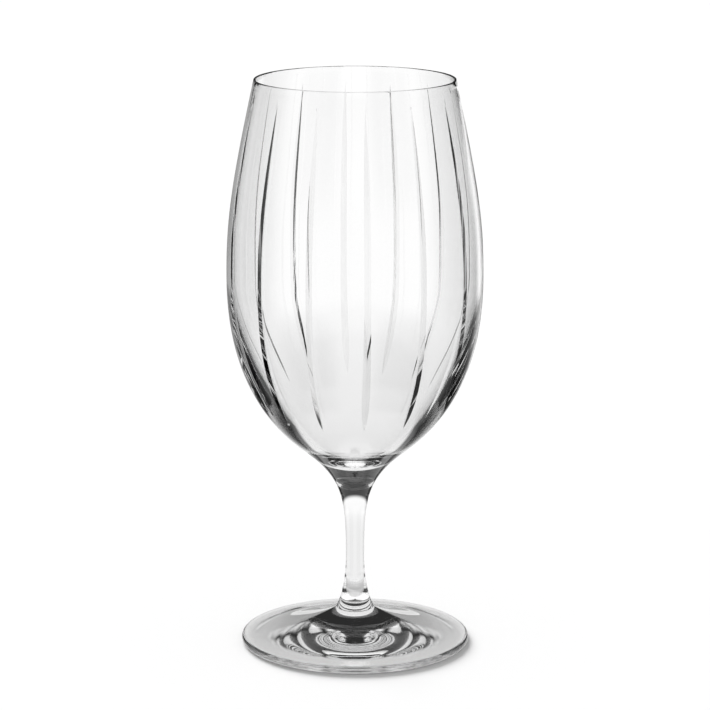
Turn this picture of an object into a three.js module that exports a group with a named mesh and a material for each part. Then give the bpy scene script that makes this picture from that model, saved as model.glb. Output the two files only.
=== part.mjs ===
// Stemmed water glass in cut crystal. Three gathers of glass make it: a blown bowl with long
// mitre cuts down its wall, a drawn stem and a spun foot, stuck end to end while hot.
// Millimetres, +Z up, with the origin on the table under the middle of the foot.
import * as THREE from "three";

// Foot: a thin spun disc that stands on a flat ring, with a low cone in its middle under the stem
const FOOT_RADIUS = 41.2;
const FOOT_EDGE_HEIGHT = 2.6;
const FOOT_HEIGHT = 12.5;
const FOOT_TOP_FALL_DEG = 1.2;
const FOOT_TOP_REACH = 6.5;
const CONE_RADIUS = 17.5;
const CONE_HEIGHT = 6.2;
const CONE_FALL_DEG = 21;
const CONE_REACH_OUT = 6;
const CONE_REACH_IN = 5.5;
const FOOT_BOSS_REACH = 2.3;
const REST_RING_WIDTH = 2.5;
const FOOT_HOLLOW_DEPTH = 1.2;

// Stem: a drawn rod, thinnest at the waist, that flares into the foot and into the bowl
const STEM_LENGTH = 47.5;
const STEM_WAIST_RADIUS = 3.3;
const STEM_WAIST_HEIGHT = 19;
const STEM_FOOT_RADIUS = 6.8;
const STEM_FOOT_FLARE_DEG = 27;
const STEM_FOOT_REACH = 7;
const STEM_BOWL_RADIUS = 7.65;
const STEM_BOWL_FLARE_DEG = 30;
const STEM_BOWL_REACH = 7.8;
const STEM_WAIST_REACH_UP = 14;
const STEM_WAIST_REACH_DOWN = 4;

// Bowl: heights are measured from its seat on the stem
const BOWL_HEIGHT = 145;
const RIM_RADIUS = 35.6;
const RIM_LEAN_DEG = 12.4;
const RIM_REACH = 40;
const BELLY_RADIUS = 45.6;
const BELLY_HEIGHT = 74.4;
const BELLY_REACH_UP = 19;
const BELLY_REACH_DOWN = 29;
const SHOULDER_RADIUS = 19.6;
const SHOULDER_HEIGHT = 12.4;
const SHOULDER_LEAN_DEG = 52.3;
const SHOULDER_REACH_UP = 20.9;
const SHOULDER_REACH_DOWN = 7.4;
const BOWL_SEAT_REACH = 4.8;
const RIM_WALL = 1.2;
const BELLY_WALL = 1.5;
const BASE_THICKNESS = 8.7;
const INSIDE_REACH_DOWN = 35;
const INSIDE_REACH_IN = 17.5;

// Mitre cuts: a V section ground down the wall, running out to a point at both ends
const CUT_COUNT = 14;
const CUT_FIRST_DEG = -84.55;
const CUT_DEPTH = 0.56;
const CUT_ANGLE_DEG = 121;
const CUT_START = 3.6;
const CUT_LENGTH = 130;
const CUT_RUNOUT_POWER = 8;
const CUT_LIFT = 0.05;

// Facets: how far a flat may stand off the true curve, the flats round each turned piece, the rows
// of flats up the bowl's wall and the flats from one cut to the next, two of them inside the cut
const FACET_SAG = 0.08;
const FOOT_FACETS = 56;
const STEM_FACETS = 24;
const WALL_ROWS = 42;
const FLATS_PER_CUT = 5;

const radians = THREE.MathUtils.degToRad;

// A unit step in the profile plane, at an angle from straight up: x is outwards and y is up
function lean(degrees) {
  return new THREE.Vector2(Math.sin(radians(degrees)), Math.cos(radians(degrees)));
}

function reach(from, direction, length) {
  return from.clone().addScaledVector(direction, length);
}

// One smooth stretch of a profile, leaving its start and meeting its end along given directions
function stretch(start, startDirection, startReach, end, endDirection, endReach) {
  return new THREE.CubicBezierCurve(
    start,
    reach(start, startDirection, startReach),
    reach(end, endDirection, -endReach),
    end,
  );
}

// Flats that keep a curve within the facet sag, from its length and the angle that it turns through
function stepsFor(curve) {
  const turn = curve.getTangent(0).angleTo(curve.getTangent(1));
  return Math.max(1, Math.ceil(Math.sqrt((curve.getLength() * turn) / (8 * FACET_SAG))));
}

// Profile points of curves joined end to end, without their shared ends twice
function pointsOf(curves) {
  const points = [];
  for (const curve of curves) {
    points.push(...curve.getPoints(stepsFor(curve)).slice(points.length ? 1 : 0));
  }
  return points;
}

// A closed profile turned about the glass's own axis
function turned(curves, facets) {
  return new THREE.LatheGeometry(pointsOf(curves), facets);
}

function line(from, to) {
  return new THREE.LineCurve(from, to);
}

function point(x, y) {
  return new THREE.Vector2(x, y);
}

const UP = lean(0);
const DOWN = lean(180);
const INWARDS = lean(-90);

function footGeometry() {
  const edge = FOOT_EDGE_HEIGHT / 2;
  const edgeCentre = FOOT_RADIUS - edge;
  const hollowRadius = edgeCentre - REST_RING_WIDTH;
  const hollowTop = point(0, FOOT_HOLLOW_DEPTH);
  const restInside = point(hollowRadius, 0);
  const restOutside = point(edgeCentre, 0);
  const edgeEnd = Math.PI / 2 - radians(FOOT_TOP_FALL_DEG);
  const edgeArc = new THREE.EllipseCurve(edgeCentre, edge, edge, edge, -Math.PI / 2, edgeEnd);
  const discTop = edgeArc.getPoint(1);
  const discFall = lean(FOOT_TOP_FALL_DEG - 90);
  const cone = point(CONE_RADIUS, CONE_HEIGHT);
  const coneFall = lean(CONE_FALL_DEG - 90);
  const bossRim = point(STEM_FOOT_RADIUS, FOOT_HEIGHT);
  const flare = lean(-STEM_FOOT_FLARE_DEG);
  const profile = [
    new THREE.QuadraticBezierCurve(hollowTop, point(hollowRadius / 2, FOOT_HOLLOW_DEPTH), restInside),
    line(restInside, restOutside),
    edgeArc,
    stretch(discTop, discFall, FOOT_TOP_REACH, cone, coneFall, CONE_REACH_OUT),
    stretch(cone, coneFall, CONE_REACH_IN, bossRim, flare, FOOT_BOSS_REACH),
    line(bossRim, point(0, FOOT_HEIGHT)),
  ];
  return turned(profile, FOOT_FACETS);
}

function stemGeometry() {
  const footRim = point(STEM_FOOT_RADIUS, 0);
  const waist = point(STEM_WAIST_RADIUS, STEM_WAIST_HEIGHT);
  const bowlRim = point(STEM_BOWL_RADIUS, STEM_LENGTH);
  const profile = [
    line(point(0, 0), footRim),
    stretch(footRim, lean(-STEM_FOOT_FLARE_DEG), STEM_FOOT_REACH, waist, UP, STEM_WAIST_REACH_DOWN),
    stretch(waist, UP, STEM_WAIST_REACH_UP, bowlRim, lean(STEM_BOWL_FLARE_DEG), STEM_BOWL_REACH),
    line(bowlRim, point(0, STEM_LENGTH)),
  ];
  return turned(profile, STEM_FACETS);
}

// The bowl's outer wall from its seat up to the rim, where the edge starts to round over
function outerWall() {
  const seat = point(STEM_BOWL_RADIUS, 0);
  const shoulder = point(SHOULDER_RADIUS, SHOULDER_HEIGHT);
  const belly = point(BELLY_RADIUS, BELLY_HEIGHT);
  const rim = point(RIM_RADIUS, BOWL_HEIGHT - RIM_WALL / 2);
  const rise = lean(SHOULDER_LEAN_DEG);
  const wall = new THREE.CurvePath();
  wall.add(stretch(seat, lean(STEM_BOWL_FLARE_DEG), BOWL_SEAT_REACH, shoulder, rise, SHOULDER_REACH_DOWN));
  wall.add(stretch(shoulder, rise, SHOULDER_REACH_UP, belly, UP, BELLY_REACH_DOWN));
  wall.add(stretch(belly, UP, BELLY_REACH_UP, rim, lean(-RIM_LEAN_DEG), RIM_REACH));
  return wall;
}

// The rounded rim and the inside, down to the middle of the bowl's floor
function rimAndInside() {
  const edge = RIM_WALL / 2;
  const rimArc = new THREE.EllipseCurve(RIM_RADIUS - edge, BOWL_HEIGHT - edge, edge, edge, 0, Math.PI);
  const belly = point(BELLY_RADIUS - BELLY_WALL, BELLY_HEIGHT);
  const bottom = point(0, BASE_THICKNESS);
  return pointsOf([
    rimArc,
    stretch(rimArc.getPoint(1), lean(180 - RIM_LEAN_DEG), RIM_REACH, belly, DOWN, BELLY_REACH_UP),
    stretch(belly, DOWN, INSIDE_REACH_DOWN, bottom, INWARDS, INSIDE_REACH_IN),
  ]);
}

// How deep the tip of the mitre wheel is in the wall: it sinks in from the cut's start and lifts
// clear of the glass towards its end, so that the cut runs out to a point both ways
function wheelDepth(fromRim) {
  const share = (fromRim - CUT_START) / CUT_LENGTH;
  const depth = CUT_DEPTH - (CUT_DEPTH + CUT_LIFT) * Math.abs(1 - 2 * share) ** CUT_RUNOUT_POWER;
  return Math.max(0, depth);
}

// The corners of one turn round the wall. Plain turns have them evenly spaced. Where the wheel has
// passed, they close in on the two edges of each cut, and the corner between drops into the glass
function turnCorners(surface, valley, cutHalfWidth) {
  const pitch = (2 * Math.PI) / CUT_COUNT;
  const halfAngle = cutHalfWidth > 0 ? cutHalfWidth / surface.x : pitch / FLATS_PER_CUT;
  const landFlats = FLATS_PER_CUT - 2;
  const corners = [];
  for (let cut = 0; cut < CUT_COUNT; cut++) {
    corners.push(cornerAt(surface, cut * pitch - halfAngle), cornerAt(valley, cut * pitch));
    for (let flat = 0; flat < landFlats; flat++) {
      const across = (flat / landFlats) * (pitch - 2 * halfAngle);
      corners.push(cornerAt(surface, cut * pitch + halfAngle + across));
    }
  }
  return corners;
}

function cornerAt(profilePoint, angle) {
  return [profilePoint.x * Math.cos(angle), profilePoint.y, -profilePoint.x * Math.sin(angle)];
}

function wallTurns() {
  const wall = outerWall();
  const turns = [];
  for (let row = 0; row <= WALL_ROWS; row++) {
    const along = row / WALL_ROWS;
    const surface = wall.getPointAt(along);
    const climb = wall.getTangentAt(along);
    const depth = wheelDepth(wall.getLength() * (1 - along));
    const valley = point(surface.x - climb.y * depth, surface.y + climb.x * depth);
    turns.push(turnCorners(surface, valley, depth * Math.tan(radians(CUT_ANGLE_DEG / 2))));
  }
  return turns;
}

// The blown bowl as one skin: from the middle of its seat, turn by turn up the wall, over the rim
// and down to the middle of its floor
function bowlGeometry() {
  const inside = rimAndInside().slice(1, -1);
  const turns = [...wallTurns(), ...inside.map((place) => turnCorners(place, place, 0))];
  const around = CUT_COUNT * FLATS_PER_CUT;
  const seatMiddle = turns.length * around;
  const floorMiddle = seatMiddle + 1;
  const corners = [...turns.flat(), [0, 0, 0], [0, BASE_THICKNESS, 0]];
  const triangles = [];
  for (let column = 0; column < around; column++) {
    const next = (column + 1) % around;
    const lastTurn = seatMiddle - around;
    triangles.push(seatMiddle, next, column);
    triangles.push(floorMiddle, lastTurn + column, lastTurn + next);
    for (let below = 0; below < lastTurn; below += around) {
      const above = below + around;
      triangles.push(below + column, below + next, above + next);
      triangles.push(below + column, above + next, above + column);
    }
  }
  const geometry = new THREE.BufferGeometry();
  geometry.setAttribute("position", new THREE.Float32BufferAttribute(corners.flat(), 3));
  geometry.setIndex(triangles);
  geometry.computeVertexNormals();
  return geometry;
}

// Clear crystal, as seen against white
function crystal() {
  return new THREE.MeshStandardMaterial({
    color: 0xf2f4f4,
    roughness: 0.03,
    metalness: 0,
    transparent: true,
    opacity: 0.35,
  });
}

function piece(name, geometry, height, turnDegrees = 0) {
  const mesh = new THREE.Mesh(geometry, crystal());
  mesh.name = name;
  mesh.position.y = height;
  mesh.rotation.y = radians(turnDegrees);
  return mesh;
}

// Profiles are turned about +Y, so the glass is stood up on +Z
const standing = new THREE.Group();
standing.rotation.x = Math.PI / 2;
standing.add(
  piece("foot", footGeometry(), 0),
  piece("stem", stemGeometry(), FOOT_HEIGHT),
  piece("bowl", bowlGeometry(), FOOT_HEIGHT + STEM_LENGTH, CUT_FIRST_DEG),
);

const glass = new THREE.Group();
glass.add(standing);

export default glass;
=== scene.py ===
# %% [markdown]
# # A cut crystal water glass
# The real glass is made from three gathers of hot crystal: a blown bowl, a drawn stem and a spun
# foot, stuck end to end while they glow. Once it is cold, a wheel grinds long V cuts down the bowl.
# The solids of these three pieces come in as a fixed frame. They are made of flats, and clear glass
# shows every flat, so each piece is drawn again here with far finer turns, from profiles of its kind.

# %% Load the frame
import math

import bpy
import numpy as np
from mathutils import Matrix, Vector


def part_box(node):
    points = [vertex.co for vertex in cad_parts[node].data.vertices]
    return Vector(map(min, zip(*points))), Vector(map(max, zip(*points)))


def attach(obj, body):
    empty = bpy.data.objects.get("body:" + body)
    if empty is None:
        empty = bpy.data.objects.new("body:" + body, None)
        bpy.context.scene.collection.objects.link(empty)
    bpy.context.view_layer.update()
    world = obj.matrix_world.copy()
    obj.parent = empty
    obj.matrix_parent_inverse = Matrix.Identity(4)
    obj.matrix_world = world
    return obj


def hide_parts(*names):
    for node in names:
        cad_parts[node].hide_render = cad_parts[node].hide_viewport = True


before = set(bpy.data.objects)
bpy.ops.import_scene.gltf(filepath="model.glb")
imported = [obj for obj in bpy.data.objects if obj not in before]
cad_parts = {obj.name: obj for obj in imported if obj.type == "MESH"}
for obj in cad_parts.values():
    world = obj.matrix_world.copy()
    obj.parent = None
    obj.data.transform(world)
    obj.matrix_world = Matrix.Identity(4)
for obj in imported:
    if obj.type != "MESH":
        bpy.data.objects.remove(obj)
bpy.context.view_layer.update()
print("frame nodes", sorted(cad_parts))

# %% [markdown]
# ## Profiles
# A turned piece is known by half of its section. Each section is a chain of smooth stretches: a
# stretch leaves one point along a given lean and meets the next along another, as a glassmaker's
# template does. Cubic Bezier curves do just that, with one reach at each end to say how far the
# curve follows its lean. Angles are from straight up, so 0 is up, 90 is outwards and 180 is down.

# %% Profile helpers
MM = 0.001
UP = 0
OUTWARDS = 90
DOWN = 180
INWARDS = -90


def lean(degrees):
    """A unit step in the profile plane: outwards first, then up."""
    angle = math.radians(degrees)
    return np.array([math.sin(angle), math.cos(angle)])


def at(radius, height):
    """A point of a profile."""
    return np.array([radius, height])


def stretch(start, start_lean, start_reach, end, end_lean, end_reach, steps):
    """Points of one smooth stretch of a profile, its start left out."""
    handles = np.array(
        [start, start + lean(start_lean) * start_reach, end - lean(end_lean) * end_reach, end]
    )
    share = np.linspace(0, 1, steps + 1)[1:, None]
    rest = 1 - share
    weights = np.hstack([rest**3, 3 * share * rest**2, 3 * share**2 * rest, share**3])
    return weights @ handles


def arc(centre, radius, first_lean, last_lean, steps):
    """Points of a round edge between two leans, its start left out."""
    leans = np.linspace(first_lean, last_lean, steps + 1)[1:]
    return np.array([centre + lean(angle) * radius for angle in leans])


# %% [markdown]
# ## From a profile to a skin
# Blender's Screw modifier could turn a profile, but the cuts need columns of their own, so the mesh
# is written out turn by turn. A turn is one ring of points. Rings are joined by quads, and a point
# on the axis closes each end. Where two gathers are fused there is no surface in the real glass,
# only one body of crystal, so the faces on those seats get a second material that light passes
# straight through.

# %% Skin helpers
CRYSTAL_SLOT = 0
SEAT_SLOT = 1
CUT_SLOT = 2
SHARP_DEGREES = 20


def turned(profile, columns, first_turn=0):
    """Rings of points for every profile point: rows, columns, xyz."""
    angles = first_turn + np.arange(columns) * 2 * math.pi / columns
    radius = profile[:, 0][:, None]
    height = np.broadcast_to(profile[:, 1][:, None], (len(profile), columns))
    return np.stack([radius * np.cos(angles), radius * np.sin(angles), height], axis=2)


def skin(name, rings, first_pole, last_pole, seats, cut_faces=None):
    """A closed, smooth mesh from rings, with a fan at each end; seats says which fans are fused."""
    rows, columns, _ = rings.shape
    points = np.vstack([rings.reshape(-1, 3), [[0, 0, first_pole], [0, 0, last_pole]]])
    column = np.arange(columns)
    after = (column + 1) % columns
    row = (np.arange(rows - 1) * columns)[:, None]
    quads = np.stack([row + column, row + after, row + columns + after, row + columns + column], axis=2)
    last_row = (rows - 1) * columns
    low_fan = np.stack([np.full(columns, rows * columns), after, column], axis=1)
    high_fan = np.stack([np.full(columns, rows * columns + 1), last_row + column, last_row + after], axis=1)
    faces = quads.reshape(-1, 4).tolist() + low_fan.tolist() + high_fan.tolist()
    mesh = bpy.data.meshes.new(name)
    mesh.from_pydata(points.tolist(), [], faces)
    slots = np.full(len(faces), CRYSTAL_SLOT)
    if "first" in seats:
        slots[-2 * columns : -columns] = SEAT_SLOT
    if "last" in seats:
        slots[-columns:] = SEAT_SLOT
    if cut_faces is not None:
        slots[: cut_faces.size][cut_faces.ravel()] = CUT_SLOT
    mesh.polygons.foreach_set("material_index", slots.astype(np.int32))
    mesh.polygons.foreach_set("use_smooth", np.ones(len(faces), bool))
    mesh.set_sharp_from_angle(angle=math.radians(SHARP_DEGREES))
    piece = bpy.data.objects.new(name, mesh)
    bpy.context.scene.collection.objects.link(piece)
    print(name, len(points), "points", len(faces), "faces")
    return piece


# %% [markdown]
# ## Foot
# The foot is spun from one gather: a thin disc with a rounded edge, and in its middle a low cone that
# rises to the stem. Underneath it is a little hollow, so that the glass stands on a ring.

# %% Foot
FOOT_RADIUS = 41.2 * MM
FOOT_EDGE = 1.3 * MM
FOOT_TOP_FALL = 1.2
FOOT_TOP_REACH = 6.5 * MM
CONE_RADIUS = 26.5 * MM
CONE_HEIGHT = 4.3 * MM
CONE_FALL = 15.5
CONE_REACH_OUT = 8 * MM
CONE_REACH_IN = 10.5 * MM
FOOT_BOSS_REACH = 2.2 * MM
REST_RING_WIDTH = 2.5 * MM
FOOT_HOLLOW_DEPTH = 1.6 * MM
STEM_FOOT_RADIUS = 6.8 * MM
STEM_FOOT_FLARE = 27
FOOT_COLUMNS = 192
HOLLOW_STEPS = 24
REST_RING_STEPS = 4
FOOT_EDGE_STEPS = 18
DISC_STEPS = 60
CONE_STEPS = 40

foot_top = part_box("foot")[1].z


def foot_profile():
    edge_centre = at(FOOT_RADIUS - FOOT_EDGE, FOOT_EDGE)
    rest_outside = edge_centre - at(0, FOOT_EDGE)
    rest_inside = rest_outside - at(REST_RING_WIDTH, 0)
    hollow_top = at(0, FOOT_HOLLOW_DEPTH)
    # The hollow is a shallow parabola, so both its reaches are a third of its radius.
    hollow_reach = rest_inside[0] / 3
    hollow_fall = OUTWARDS + math.degrees(math.atan2(FOOT_HOLLOW_DEPTH, rest_inside[0] / 2))
    hollow = stretch(
        hollow_top, OUTWARDS, hollow_reach, rest_inside, hollow_fall, hollow_reach, HOLLOW_STEPS
    )
    ring = np.linspace(rest_inside, rest_outside, REST_RING_STEPS + 1)[1:]
    edge = arc(edge_centre, FOOT_EDGE, DOWN, FOOT_TOP_FALL, FOOT_EDGE_STEPS)
    cone = at(CONE_RADIUS, CONE_HEIGHT)
    boss_rim = at(STEM_FOOT_RADIUS, foot_top)
    disc_lean = INWARDS + FOOT_TOP_FALL
    cone_lean = INWARDS + CONE_FALL
    disc = stretch(edge[-1], disc_lean, FOOT_TOP_REACH, cone, cone_lean, CONE_REACH_OUT, DISC_STEPS)
    rise = stretch(
        cone, cone_lean, CONE_REACH_IN, boss_rim, -STEM_FOOT_FLARE, FOOT_BOSS_REACH, CONE_STEPS
    )
    return np.vstack([hollow, ring, edge, disc, rise])


foot = skin("spun_foot", turned(foot_profile(), FOOT_COLUMNS), FOOT_HOLLOW_DEPTH, foot_top, {"last"})

# %% [markdown]
# ## Stem
# The stem is drawn down from a blob of glass, so it is thinnest low down, where it was hottest, and
# it flares smoothly into the foot and into the bowl.

# %% Stem
STEM_WAIST_RADIUS = 3.3 * MM
STEM_WAIST_HEIGHT = 19 * MM
STEM_FOOT_REACH = 7 * MM
STEM_WAIST_REACH_DOWN = 4 * MM
STEM_WAIST_REACH_UP = 14 * MM
STEM_BOWL_RADIUS = 7.65 * MM
STEM_BOWL_FLARE = 30
STEM_BOWL_REACH = 7.8 * MM
STEM_COLUMNS = 112
STEM_LOWER_STEPS = 50
STEM_UPPER_STEPS = 60

bowl_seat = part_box("bowl")[0].z


def stem_profile():
    foot_rim = at(STEM_FOOT_RADIUS, foot_top)
    waist = at(STEM_WAIST_RADIUS, foot_top + STEM_WAIST_HEIGHT)
    bowl_rim = at(STEM_BOWL_RADIUS, bowl_seat)
    lower = stretch(
        foot_rim, -STEM_FOOT_FLARE, STEM_FOOT_REACH, waist, UP, STEM_WAIST_REACH_DOWN, STEM_LOWER_STEPS
    )
    upper = stretch(
        waist, UP, STEM_WAIST_REACH_UP, bowl_rim, STEM_BOWL_FLARE, STEM_BOWL_REACH, STEM_UPPER_STEPS
    )
    return np.vstack([foot_rim, lower, upper])


stem = skin("drawn_stem", turned(stem_profile(), STEM_COLUMNS), foot_top, bowl_seat, {"first", "last"})

# %% [markdown]
# ## Bowl
# The bowl is blown, and its wall is thin at the rim and heavier towards the stem. The inside has its
# own profile, because what makes the foot of a bowl sparkle is the lens of glass between the two.

# %% Bowl profiles
RIM_RADIUS = 35.6 * MM
RIM_LEAN = 12.4
RIM_REACH = 40 * MM
RIM_EDGE = 0.42 * MM
BELLY_RADIUS = 45.6 * MM
BELLY_HEIGHT = 74.4 * MM
BELLY_REACH_UP = 19 * MM
BELLY_REACH_DOWN = 29 * MM
SHOULDER_RADIUS = 19.6 * MM
SHOULDER_HEIGHT = 12.4 * MM
SHOULDER_LEAN = 52.3
SHOULDER_REACH_UP = 20.9 * MM
SHOULDER_REACH_DOWN = 7.4 * MM
BOWL_SEAT_REACH = 4.8 * MM
BELLY_WALL = 1.5 * MM
BASE_THICKNESS = 8.7 * MM
INSIDE_REACH_DOWN = 35 * MM
INSIDE_REACH_IN = 17.5 * MM
SHOULDER_STEPS = 30
BELLY_STEPS = 90
NECK_STEPS = 80
RIM_EDGE_STEPS = 14
INSIDE_NECK_STEPS = 50
INSIDE_BELLY_STEPS = 80

rim_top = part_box("bowl")[1].z
rim_turn = rim_top - RIM_EDGE


def outer_profile():
    seat = at(STEM_BOWL_RADIUS, bowl_seat)
    shoulder = at(SHOULDER_RADIUS, bowl_seat + SHOULDER_HEIGHT)
    belly = at(BELLY_RADIUS, bowl_seat + BELLY_HEIGHT)
    rim = at(RIM_RADIUS, rim_turn)
    base = stretch(
        seat, STEM_BOWL_FLARE, BOWL_SEAT_REACH, shoulder, SHOULDER_LEAN, SHOULDER_REACH_DOWN, SHOULDER_STEPS
    )
    lower = stretch(shoulder, SHOULDER_LEAN, SHOULDER_REACH_UP, belly, UP, BELLY_REACH_DOWN, BELLY_STEPS)
    upper = stretch(belly, UP, BELLY_REACH_UP, rim, -RIM_LEAN, RIM_REACH, NECK_STEPS)
    return np.vstack([seat, base, lower, upper])


def inner_profile():
    rim_edge = arc(at(RIM_RADIUS - RIM_EDGE, rim_turn), RIM_EDGE, OUTWARDS, INWARDS, RIM_EDGE_STEPS)
    belly = at(BELLY_RADIUS - BELLY_WALL, bowl_seat + BELLY_HEIGHT)
    floor_middle = at(0, bowl_seat + BASE_THICKNESS)
    upper = stretch(
        rim_edge[-1], DOWN - RIM_LEAN, RIM_REACH, belly, DOWN, BELLY_REACH_UP, INSIDE_NECK_STEPS
    )
    lower = stretch(
        belly, DOWN, INSIDE_REACH_DOWN, floor_middle, INWARDS, INSIDE_REACH_IN, INSIDE_BELLY_STEPS
    )
    return np.vstack([rim_edge, upper, lower[:-1]])


print("bowl", round((rim_top - bowl_seat) / MM, 1), "mm tall")

# %% [markdown]
# ## Mitre cuts
# A mitre cut is the track of a wheel with a V edge. It sinks in a little below the rim, follows the
# wall down round the belly, goes somewhat deeper where the wall gets heavier and lifts out on the
# shoulder, so it starts and ends in a point. The columns of the mesh gather on the two edges and the
# valley of each cut, which keeps them crisp lines on a wall that curves both ways.

# %% Bowl
CUT_COUNT = 14
FIRST_CUT = math.radians(-84.55)
CUT_DEPTH = 0.58 * MM
CUT_ANGLE = 127
CUT_START = 3.6 * MM
CUT_LENGTH = 119 * MM
CUT_MIDDLE = 0.5
CUT_RUNIN_POWER = 3
CUT_RUNOUT_POWER = 10
CUT_LIFT = 0.05 * MM
CUT_DEEPENS_BETWEEN = (0.6, 0.9)
CUT_DEEPENS_TO = 1.25
CUT_LEAST_WIDTH = 0.02 * MM
CUT_SIDE_COLUMNS = 2
LAND_COLUMNS = 16


def wheel_depth(from_rim):
    """How deep the tip of the wheel is in the wall at each distance from the rim."""
    share = (from_rim - CUT_START) / CUT_LENGTH
    power = np.where(share < CUT_MIDDLE, CUT_RUNIN_POWER, CUT_RUNOUT_POWER)
    lift = (CUT_DEPTH + CUT_LIFT) * np.abs(1 - share / CUT_MIDDLE) ** power
    deeper = np.interp(share, CUT_DEEPENS_BETWEEN, (1, CUT_DEEPENS_TO))
    return np.maximum(0, CUT_DEPTH - lift) * deeper


def wall_rings(profile):
    """Rings of the outer wall, with every cut sunk into it."""
    tangent = np.gradient(profile, axis=0)
    tangent /= np.linalg.norm(tangent, axis=1)[:, None]
    step = np.linalg.norm(np.diff(profile, axis=0), axis=1)
    from_rim = step.sum() - np.concatenate([[0], np.cumsum(step)])
    depth = wheel_depth(from_rim)
    half_width = np.maximum(depth * math.tan(math.radians(CUT_ANGLE / 2)), CUT_LEAST_WIDTH)
    pitch = 2 * math.pi / CUT_COUNT
    across = np.linspace(-1, 1, 2 * CUT_SIDE_COLUMNS + 1)
    land = np.linspace(0, 1, LAND_COLUMNS + 1)[1:-1]
    half_angle = (half_width / profile[:, 0])[:, None]
    cut_angles = half_angle * across
    land_angles = half_angle + (pitch - 2 * half_angle) * land
    angles = np.hstack([cut_angles, land_angles])
    sink = np.hstack([depth[:, None] * (1 - np.abs(across)), np.zeros((len(profile), len(land)))])
    radius = profile[:, 0][:, None] - tangent[:, 1][:, None] * sink
    height = profile[:, 1][:, None] + tangent[:, 0][:, None] * sink
    turn = FIRST_CUT + np.arange(CUT_COUNT) * pitch
    angles = (turn[None, :, None] + angles[:, None, :]).reshape(len(profile), -1)
    radius = np.tile(radius, CUT_COUNT)
    height = np.tile(height, CUT_COUNT)
    in_cut = np.tile(np.arange(sink.shape[1]) < 2 * CUT_SIDE_COLUMNS, CUT_COUNT)
    cut_faces = (depth[1:] > 0)[:, None] & in_cut
    return np.stack([radius * np.cos(angles), radius * np.sin(angles), height], axis=2), cut_faces


outer_rings, cut_faces = wall_rings(outer_profile())
inner_rings = turned(inner_profile(), outer_rings.shape[1], FIRST_CUT)
bowl_rings = np.vstack([outer_rings, inner_rings])
bowl = skin("blown_bowl", bowl_rings, bowl_seat, bowl_seat + BASE_THICKNESS, {"first"}, cut_faces)

# %% [markdown]
# ## Shader helpers
# The finishes and the studio are all built from a few kinds of node, so these are wrapped once. Each
# helper adds one node to a tree, links what it is given and hands back the output.

# %% Shader helpers
def feed(tree, socket, value):
    """Gives an input a plain number, or links it to an output."""
    if isinstance(value, (int, float)):
        socket.default_value = value
    else:
        tree.links.new(value, socket)


def math_node(tree, operation, first, second=0):
    """A Math node on outputs or plain numbers."""
    node = tree.nodes.new("ShaderNodeMath")
    node.operation = operation
    feed(tree, node.inputs[0], first)
    feed(tree, node.inputs[1], second)
    return node.outputs[0]


def vector_node(tree, operation, first, second=(0, 0, 0)):
    """A Vector Math node on an output and a plain vector."""
    node = tree.nodes.new("ShaderNodeVectorMath")
    node.operation = operation
    tree.links.new(first, node.inputs[0])
    node.inputs[1].default_value = second
    return node


def smooth_step(tree, value, low, high, at_low, at_high):
    """A value that turns smoothly from at_low to at_high between two marks."""
    node = tree.nodes.new("ShaderNodeMapRange")
    node.interpolation_type = "SMOOTHSTEP"
    tree.links.new(value, node.inputs["Value"])
    for name, mark in (("From Min", low), ("From Max", high), ("To Min", at_low), ("To Max", at_high)):
        feed(tree, node.inputs[name], mark)
    return node.outputs["Result"]


def blend(tree, share, first, second):
    """A value between first and second."""
    node = tree.nodes.new("ShaderNodeMix")
    feed(tree, node.inputs["Factor"], share)
    feed(tree, node.inputs["A"], first)
    feed(tree, node.inputs["B"], second)
    return node.outputs["Result"]


# %% [markdown]
# ## Crystal
# Clear crystal has no colour to speak of: what the eye sees is refraction. Still, no hand-made piece
# is perfect. The hot gather keeps faint swells from the blowpipe, and its fire polish is a touch
# duller in places. The cuts are ground with a wheel and polished afterwards, so they are a little
# greyer, with fine scratches along their length. Both finishes are uneven in the same way, so the
# unevenness is one node group: noise in the piece's own space, drawn out along the height as much as
# wanted, that gives a roughness and a height for a bump.

# %% Uneven finish
def uneven_finish():
    """A node group: swells of a given size and stretch, as a roughness and as a height."""
    group = bpy.data.node_groups.new("uneven_finish", "ShaderNodeTree")
    for name in ("Size", "Stretch", "Smoothest", "Roughest"):
        group.interface.new_socket(name, in_out="INPUT", socket_type="NodeSocketFloat")
    for name in ("Roughness", "Height"):
        group.interface.new_socket(name, in_out="OUTPUT", socket_type="NodeSocketFloat")
    given = group.nodes.new("NodeGroupInput").outputs
    place = group.nodes.new("ShaderNodeTexCoord")
    parts = group.nodes.new("ShaderNodeSeparateXYZ")
    group.links.new(place.outputs["Object"], parts.inputs[0])
    drawn_out = group.nodes.new("ShaderNodeCombineXYZ")
    group.links.new(math_node(group, "DIVIDE", parts.outputs["X"], given["Size"]), drawn_out.inputs["X"])
    group.links.new(math_node(group, "DIVIDE", parts.outputs["Y"], given["Size"]), drawn_out.inputs["Y"])
    tall = math_node(group, "MULTIPLY", given["Size"], given["Stretch"])
    group.links.new(math_node(group, "DIVIDE", parts.outputs["Z"], tall), drawn_out.inputs["Z"])
    swells = group.nodes.new("ShaderNodeTexNoise")
    swells.inputs["Scale"].default_value = 1
    swells.inputs["Detail"].default_value = 1
    group.links.new(drawn_out.outputs["Vector"], swells.inputs["Vector"])
    swell = swells.outputs["Fac"]
    roughness = blend(group, swell, given["Smoothest"], given["Roughest"])
    out = group.nodes.new("NodeGroupOutput")
    group.links.new(roughness, out.inputs["Roughness"])
    group.links.new(swell, out.inputs["Height"])
    return group


uneven = uneven_finish()
print("uneven finish", [socket.name for socket in uneven.interface.items_tree])

# %% [markdown]
# Each material is a Principled BSDF with full transmission and the index of lead-free crystal. The
# swells of the blown wall are long and very low, and the scratches of the cuts are short and fine.

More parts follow.
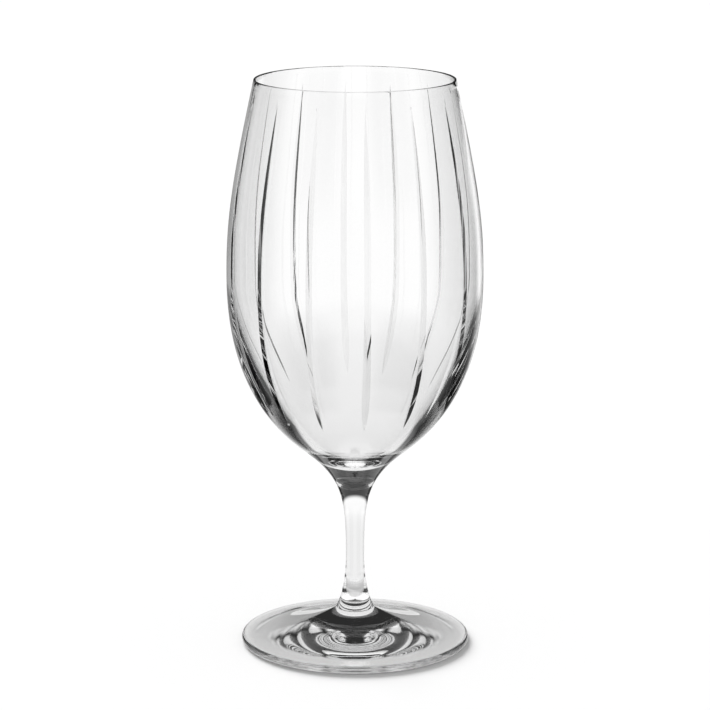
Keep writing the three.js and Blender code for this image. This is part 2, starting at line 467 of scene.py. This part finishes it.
# %% Crystal materials
CRYSTAL_IOR = 1.54
BLOWN = {"Size": 14 * MM, "Stretch": 1.6, "Smoothest": 0, "Roughest": 0.012}
BLOWN_SWELL = 0.03 * MM
GROUND = {"Size": 0.5 * MM, "Stretch": 12, "Smoothest": 0, "Roughest": 0.03}
GROUND_SWELL = 0.0005 * MM
CLEAR = (1, 1, 1, 1)
CUT_TINT = (0.88, 0.88, 0.88, 1)


def crystal(name, tint, finish, swell_height):
    material = bpy.data.materials.new(name)
    material.use_nodes = True
    tree = material.node_tree
    surface = tree.nodes["Principled BSDF"]
    surface.inputs["Base Color"].default_value = tint
    surface.inputs["Transmission Weight"].default_value = 1
    surface.inputs["IOR"].default_value = CRYSTAL_IOR
    texture = tree.nodes.new("ShaderNodeGroup")
    texture.node_tree = uneven
    for socket, value in finish.items():
        texture.inputs[socket].default_value = value
    bump = tree.nodes.new("ShaderNodeBump")
    bump.inputs["Distance"].default_value = swell_height
    tree.links.new(texture.outputs["Height"], bump.inputs["Height"])
    tree.links.new(texture.outputs["Roughness"], surface.inputs["Roughness"])
    tree.links.new(bump.outputs["Normal"], surface.inputs["Normal"])
    return material


def fused_seat():
    material = bpy.data.materials.new("fused_seat")
    material.use_nodes = True
    nodes = material.node_tree.nodes
    nodes.remove(nodes["Principled BSDF"])
    clear = nodes.new("ShaderNodeBsdfTransparent")
    material.node_tree.links.new(clear.outputs["BSDF"], nodes["Material Output"].inputs["Surface"])
    return material


seat_material = fused_seat()
for piece, node in ((foot, "foot"), (stem, "stem"), (bowl, "bowl")):
    piece.data.materials.append(crystal("crystal_" + node, CLEAR, BLOWN, BLOWN_SWELL))
    piece.data.materials.append(seat_material)
    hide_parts(node)
    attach(piece, "root")
bowl.data.materials.append(crystal("cut_finish", CUT_TINT, GROUND, GROUND_SWELL))
print("bowl materials", [material.name for material in bowl.data.materials])

# %% [markdown]
# ## Studio
# Clear glass has no looks of its own: it shows the room around it. The usual way to photograph it on
# a white page is a bright field: a white table with a low white wall, a dark room above them, and
# dark cards that the edges of the glass mirror as black lines. Cards that stand in one place would
# show behind the bowl from another side, so here the rays are told apart with the Light Path node.
# Rays that the glass has only bent see the white table and wall. Rays that it has mirrored see the
# rest of the room, which is pale in front of the glass and dark elsewhere. The camera itself sees plain
# white, and all other rays soft daylight.

# %% Room
PAGE_WHITE = 1
ROOM_WHITE = 1.03
ROOM_DARK = 0.025
WALL_TOP_DEGREES = 2
WALL_FADE_DEGREES = 6
DAYLIGHT = 0.52
FRONT_WHITE = 0.85
FRONT_TURN = (-0.4, 0.1)
FRONT_TOP = (0.2, 0.4)
ANY_BOUNCE = 0.5


def compass(tree, place):
    """Two values for a place or direction: how far it lies to the right and to the back, each -1 to 1."""
    flat = vector_node(tree, "MULTIPLY", place, (1, 1, 0))
    level = vector_node(tree, "NORMALIZE", flat.outputs["Vector"])
    parts = tree.nodes.new("ShaderNodeSeparateXYZ")
    tree.links.new(level.outputs["Vector"], parts.inputs[0])
    return parts.outputs["X"], parts.outputs["Y"]


def mirrored_room(tree, back):
    """How light the room is for mirrored rays, by how far back they look."""
    return smooth_step(tree, back, *FRONT_TURN, FRONT_WHITE, ROOM_DARK)


def glass_rays(tree):
    """Two values: 1 for rays from the camera by way of the glass, and 1 for those it has mirrored."""
    path = tree.nodes.new("ShaderNodeLightPath")
    either = math_node(tree, "MAXIMUM", path.outputs["Is Glossy Ray"], path.outputs["Is Transmission Ray"])
    unscattered = math_node(tree, "LESS_THAN", path.outputs["Diffuse Depth"], ANY_BOUNCE)
    mirrored = math_node(tree, "GREATER_THAN", path.outputs["Glossy Depth"], ANY_BOUNCE)
    return math_node(tree, "MULTIPLY", either, unscattered), mirrored


def studio_world():
    world = bpy.data.worlds.new("studio")
    bpy.context.scene.world = world
    world.use_nodes = True
    tree = world.node_tree
    direction = tree.nodes.new("ShaderNodeTexCoord").outputs["Generated"]
    parts = tree.nodes.new("ShaderNodeSeparateXYZ")
    tree.links.new(direction, parts.inputs[0])
    height = parts.outputs["Z"]
    wall_top = math.sin(math.radians(WALL_TOP_DEGREES))
    wall_end = math.sin(math.radians(WALL_TOP_DEGREES + WALL_FADE_DEGREES))
    wall = smooth_step(tree, height, wall_top, wall_end, ROOM_WHITE, ROOM_DARK)
    front = mirrored_room(tree, compass(tree, direction)[1])
    far_room = smooth_step(tree, height, *FRONT_TOP, front, ROOM_DARK)
    by_glass, mirrored = glass_rays(tree)
    room = blend(tree, mirrored, wall, far_room)
    seen = tree.nodes.new("ShaderNodeLightPath").outputs["Is Camera Ray"]
    level = blend(tree, by_glass, blend(tree, seen, DAYLIGHT, PAGE_WHITE), room)
    background = tree.nodes["Background"]
    background.inputs["Color"].default_value = CLEAR
    tree.links.new(level, background.inputs["Strength"])


studio_world()
print("room from", ROOM_DARK, "to", ROOM_WHITE, "and daylight", DAYLIGHT)

# %% [markdown]
# A broad lamp stands low behind the glass, a little to the left. It only draws the shadow: a lamp that
# the glass could mirror would put a hot spot on the bowl. Cycles lets no lamp light through glass, but
# a thin clear bowl hardly holds any back, so only the thick foot is left to shade the table.

# %% Lamp
LAMP_STRENGTH = 4.6
LAMP_WIDTH_DEGREES = 30
LAMP_LEAN_DEGREES = 65
LAMP_TURN_DEGREES = 20

lamp_light = bpy.data.lights.new("back_lamp", "SUN")
lamp_light.energy = LAMP_STRENGTH
lamp_light.angle = math.radians(LAMP_WIDTH_DEGREES)
lamp = bpy.data.objects.new("back_lamp", lamp_light)
lamp.rotation_euler = (-math.radians(LAMP_LEAN_DEGREES), 0, math.radians(LAMP_TURN_DEGREES))
lamp.visible_glossy = False
lamp.visible_transmission = False
bpy.context.scene.collection.objects.link(lamp)
stem.visible_shadow = False
bowl.visible_shadow = False
print("lamp strength", lamp_light.energy)

# %% [markdown]
# The table is one plain matt white sheet that takes the shadow. The glass dims and gathers the light
# under it and shows that again, so for the rays that it has bent the sheet is shaded under the foot,
# with a bright ring where the edge of the foot gathers light. A Color Ramp over the distance from the
# middle draws this. Each of its stops is a share of the reach and a grey.

# %% Table sheet
FLOOR_SIZE = 6
FLOOR_WHITE = (0.9, 0.9, 0.9, 1)
FLOOR_ROUGHNESS = 0.9
FLOOR_DROP = 0.2 * MM
SHADE_REACH = 60 * MM
SHADE = ((0.4, 0.6), (0.53, 0.74), (0.62, 0.8), (0.66, 1.0), (0.76, 0.83))
SHADE_WHITE = 1.2


def studio_floor():
    half = FLOOR_SIZE / 2
    corners = [(-half, -half), (half, -half), (half, half), (-half, half)]
    mesh = bpy.data.meshes.new("studio_floor")
    mesh.from_pydata([(x, y, -FLOOR_DROP) for x, y in corners], [], [(0, 1, 2, 3)])
    floor = bpy.data.objects.new("studio_floor", mesh)
    bpy.context.scene.collection.objects.link(floor)
    return floor


def foot_shade(tree, distance):
    """How much light is left on the table under the glass, from its middle outwards."""
    shade = tree.nodes.new("ShaderNodeValToRGB")
    stops = shade.color_ramp.elements
    while len(stops) < len(SHADE):
        stops.new(1)
    for stop, (reach, grey) in zip(stops, SHADE):
        stop.position = reach
        stop.color = (grey, grey, grey, 1)
    tree.links.new(math_node(tree, "DIVIDE", distance, SHADE_REACH), shade.inputs["Fac"])
    return math_node(tree, "MULTIPLY", shade.outputs["Color"], SHADE_WHITE)


table = studio_floor()
print("table", FLOOR_SIZE, "m wide")

# %% [markdown]
# Mirrored rays see the same sheet with dark cards on it, which the glass turns into black lines and
# zones. Four large cards lie at the corners, and two small ones reach in towards the foot at the back.
# Right under the stem the sheet is bright, but for a dark patch just behind the middle. Far out it is
# as light as the room, but for its far end, which is grey on the left and white on the right. The
# distances are in metres.

# %% Cards
CARD_NEAR = (0.075, 0.09)
CARD_FAR = (0.2, 0.5)
CARD_SPREAD = (0.4, 0.9)
SMALL_CARD_EDGE = (0.05, 0.058)
SMALL_CARD_SPREAD = (0.75, 0.92)
STEM_LIGHT = 1.15
STEM_LIGHT_EDGE = (0.018, 0.021)
STEM_SHADOW = (0.97, 0.99)
STEM_SHADOW_END = (0.0155, 0.0165)
FAR_END = (0.68, 0.84)
FAR_LEFT = 0.4
FAR_RIGHT = 1.05
FAR_SPLIT = (-0.15, 0.15)


def band(tree, distance, start, end):
    """1 between two distances from the middle, with soft edges, and 0 elsewhere."""
    past_start = smooth_step(tree, distance, *start, 0, 1)
    past_end = smooth_step(tree, distance, *end, 0, 1)
    return math_node(tree, "SUBTRACT", past_start, past_end)


def on_cards(tree, distance, right, back):
    """1 on the dark cards and 0 elsewhere."""
    half_corner = math_node(tree, "ABSOLUTE", math_node(tree, "MULTIPLY", right, back))
    corner = math_node(tree, "MULTIPLY", half_corner, 2)
    at_corner = smooth_step(tree, corner, *CARD_SPREAD, 0, 1)
    large = math_node(tree, "MULTIPLY", at_corner, band(tree, distance, CARD_NEAR, CARD_FAR))
    at_back = smooth_step(tree, back, *FAR_END, 0, 1)
    back_corner = math_node(tree, "MULTIPLY", at_back, smooth_step(tree, corner, *SMALL_CARD_SPREAD, 0, 1))
    small = math_node(tree, "MULTIPLY", back_corner, band(tree, distance, STEM_LIGHT_EDGE, SMALL_CARD_EDGE))
    return math_node(tree, "ADD", large, small)


def bare_sheet(tree, distance, right, back, table_white):
    """How light the sheet between the cards is: under the stem, round the foot and far out."""
    behind_stem = smooth_step(tree, back, *STEM_SHADOW, STEM_LIGHT, ROOM_DARK)
    by_stem = smooth_step(tree, distance, *STEM_SHADOW_END, behind_stem, STEM_LIGHT)
    near = smooth_step(tree, distance, *STEM_LIGHT_EDGE, by_stem, table_white)
    far_end = smooth_step(tree, right, *FAR_SPLIT, FAR_LEFT, FAR_RIGHT)
    far = smooth_step(tree, back, *FAR_END, mirrored_room(tree, back), far_end)
    return smooth_step(tree, distance, *CARD_FAR, near, far)


def mirrored_table(tree, distance, right, back, table_white):
    sheet = bare_sheet(tree, distance, right, back, table_white)
    return blend(tree, on_cards(tree, distance, right, back), sheet, ROOM_DARK)


# %% [markdown]
# The material puts both together. A Mix Shader gives the rays that came by way of the glass a plain
# glow of the level worked out above, and all other rays the matt white sheet. For the glass the sheet
# is a little darker close by than far away.

# %% Table material
TABLE_NEAR = 0.88
TABLE_FALL = (0.12, 0.5)


def table_material():
    material = bpy.data.materials.new("white_table")
    material.use_nodes = True
    tree = material.node_tree
    surface = tree.nodes["Principled BSDF"]
    surface.inputs["Base Color"].default_value = FLOOR_WHITE
    surface.inputs["Roughness"].default_value = FLOOR_ROUGHNESS
    surface.inputs["Specular IOR Level"].default_value = 0
    place = tree.nodes.new("ShaderNodeNewGeometry").outputs["Position"]
    distance = vector_node(tree, "LENGTH", place).outputs["Value"]
    right, back = compass(tree, place)
    table_white = smooth_step(tree, distance, *TABLE_FALL, TABLE_NEAR, ROOM_WHITE)
    bent_table = math_node(tree, "MULTIPLY", foot_shade(tree, distance), table_white)
    by_glass, mirrored = glass_rays(tree)
    carded_table = mirrored_table(tree, distance, right, back, table_white)
    glow = tree.nodes.new("ShaderNodeEmission")
    tree.links.new(blend(tree, mirrored, bent_table, carded_table), glow.inputs["Strength"])
    either = tree.nodes.new("ShaderNodeMixShader")
    tree.links.new(by_glass, either.inputs[0])
    tree.links.new(surface.outputs["BSDF"], either.inputs[1])
    tree.links.new(glow.outputs["Emission"], either.inputs[2])
    tree.links.new(either.outputs[0], tree.nodes["Material Output"].inputs["Surface"])
    return material


table.data.materials.append(table_material())
print("table material", table.data.materials[0].name)

# %% [markdown]
# ## Camera
# The lens is long, so the glass is drawn with little perspective. Light goes back and forth many times
# in thick glass, so Cycles is allowed more bounces than usual.

# %% Camera
CAMERA_PLACE = (0, -1.0419, 0.3418)
CAMERA_LEVEL = 90
CAMERA_PITCH_DOWN = 12.76
CAMERA_LENS = 151.7
SENSOR_WIDTH = 36
GLASS_BOUNCES = 32
MIRROR_BOUNCES = 16
SEAT_BOUNCES = 16

camera_data = bpy.data.cameras.new("camera")
camera_data.lens = CAMERA_LENS
camera_data.sensor_width = SENSOR_WIDTH
camera = bpy.data.objects.new("camera", camera_data)
camera.location = CAMERA_PLACE
camera.rotation_euler = (math.radians(CAMERA_LEVEL - CAMERA_PITCH_DOWN), 0, 0)
bpy.context.scene.collection.objects.link(camera)
bpy.context.scene.camera = camera

scene = bpy.context.scene
scene.view_settings.view_transform = "Standard"
scene.cycles.max_bounces = GLASS_BOUNCES
scene.cycles.transmission_bounces = GLASS_BOUNCES
scene.cycles.glossy_bounces = MIRROR_BOUNCES
scene.cycles.transparent_max_bounces = SEAT_BOUNCES
print("camera", CAMERA_LENS, "mm lens, looking down", CAMERA_PITCH_DOWN, "degrees")
